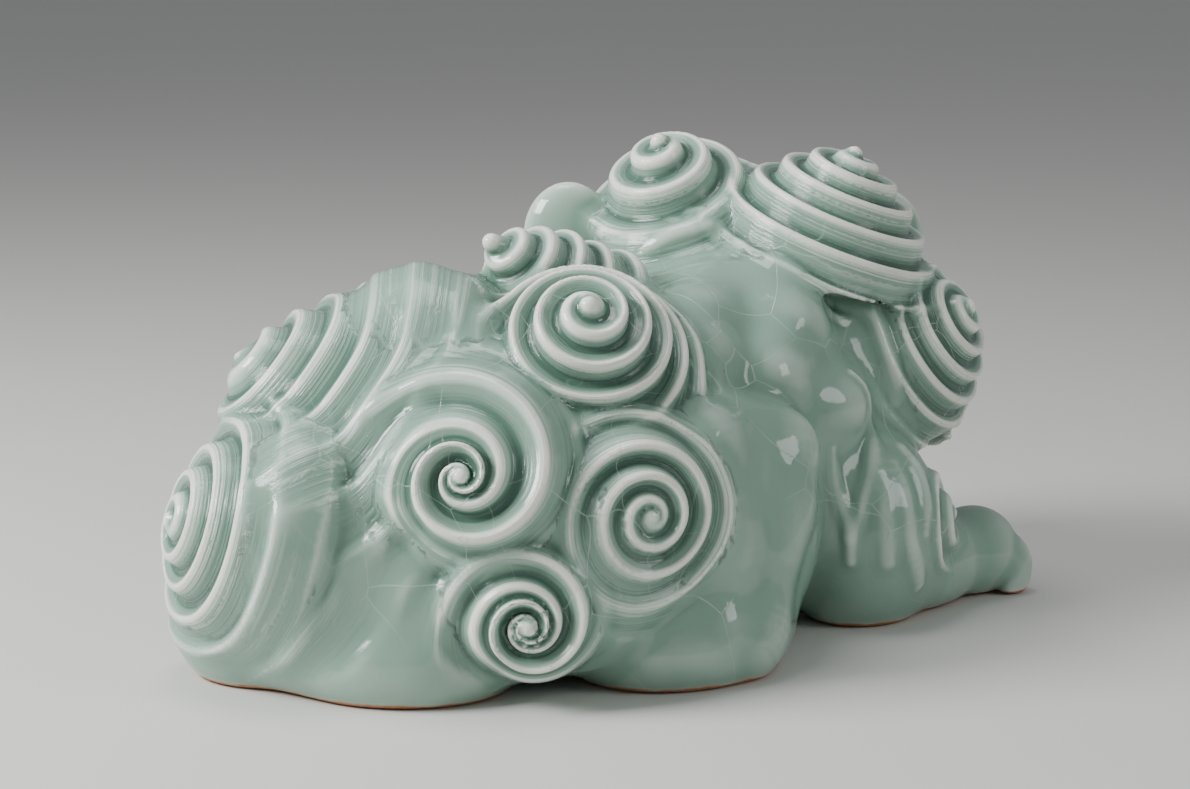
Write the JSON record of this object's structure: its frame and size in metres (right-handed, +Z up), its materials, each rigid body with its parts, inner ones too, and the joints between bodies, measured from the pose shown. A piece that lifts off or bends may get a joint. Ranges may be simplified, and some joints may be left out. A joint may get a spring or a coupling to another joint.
{
  "type": "foo dog figure",
  "caption": "Crouching guardian lion figure in celadon-glazed ceramic, with spiral curls on tail and mane and a flat unglazed foot.",
  "frame": {"origin": "middle of the figure's bounding box, on the surface that it stands on", "axes": "+Z up, the lion's body lies along Y with the forepaws toward -Y and the tail toward +Y, and its head is turned to its own left, toward +X"},
  "size_m": [0.1718, 0.304, 0.1657],
  "materials": {
    "celadon_glaze": "glossy pale celadon glaze, darker where it pools in the grooves, white on the crests, with fine crackle"
  },
  "bodies": {
    "root": {"foo_dog": "celadon_glaze"}
  },
  "joints": []
}
